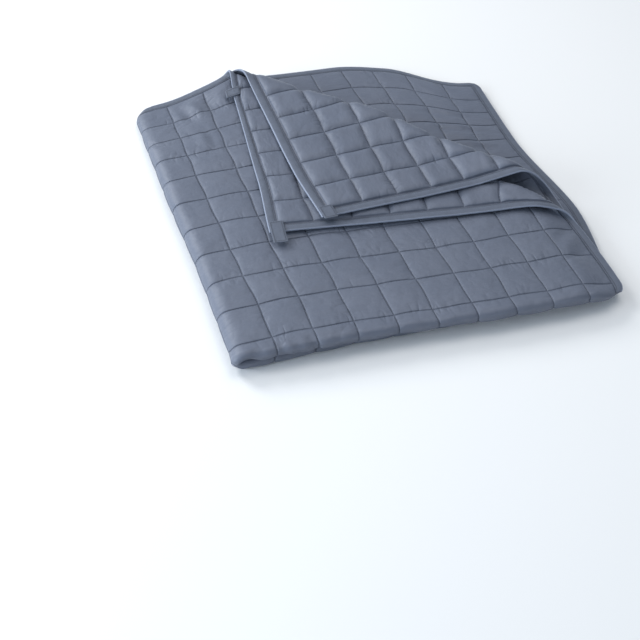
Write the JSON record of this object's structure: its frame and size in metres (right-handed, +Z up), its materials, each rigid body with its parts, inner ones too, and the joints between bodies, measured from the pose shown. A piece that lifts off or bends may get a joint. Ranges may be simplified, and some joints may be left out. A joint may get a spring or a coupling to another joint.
{
  "type": "weighted blanket",
  "caption": "Quilted weighted blanket with a bound edge and tape loops, folded into a flat rectangular pile with its upper corners turned back.",
  "frame": {"origin": "centre of the footprint of the folded pile, on the surface that it lies on", "axes": "+Z up, +Y from the front fold towards the bound back edges, +X from the round left fold towards the bound right edges"},
  "size_m": [0.807, 0.839, 0.0883],
  "materials": {
    "quilt_cloth": "slate blue-grey woven cotton with a soft sheen, quilted in squares",
    "binding_tape": "slate blue-grey woven tape, matt",
    "loop_tape": "slate blue-grey woven tape, matt"
  },
  "bodies": {
    "root": {"quilt": "quilt_cloth", "edge_binding": "binding_tape", "corner_loop_hanging": "loop_tape", "corner_loop_tucked": "loop_tape", "side_loop": "loop_tape"}
  },
  "joints": []
}
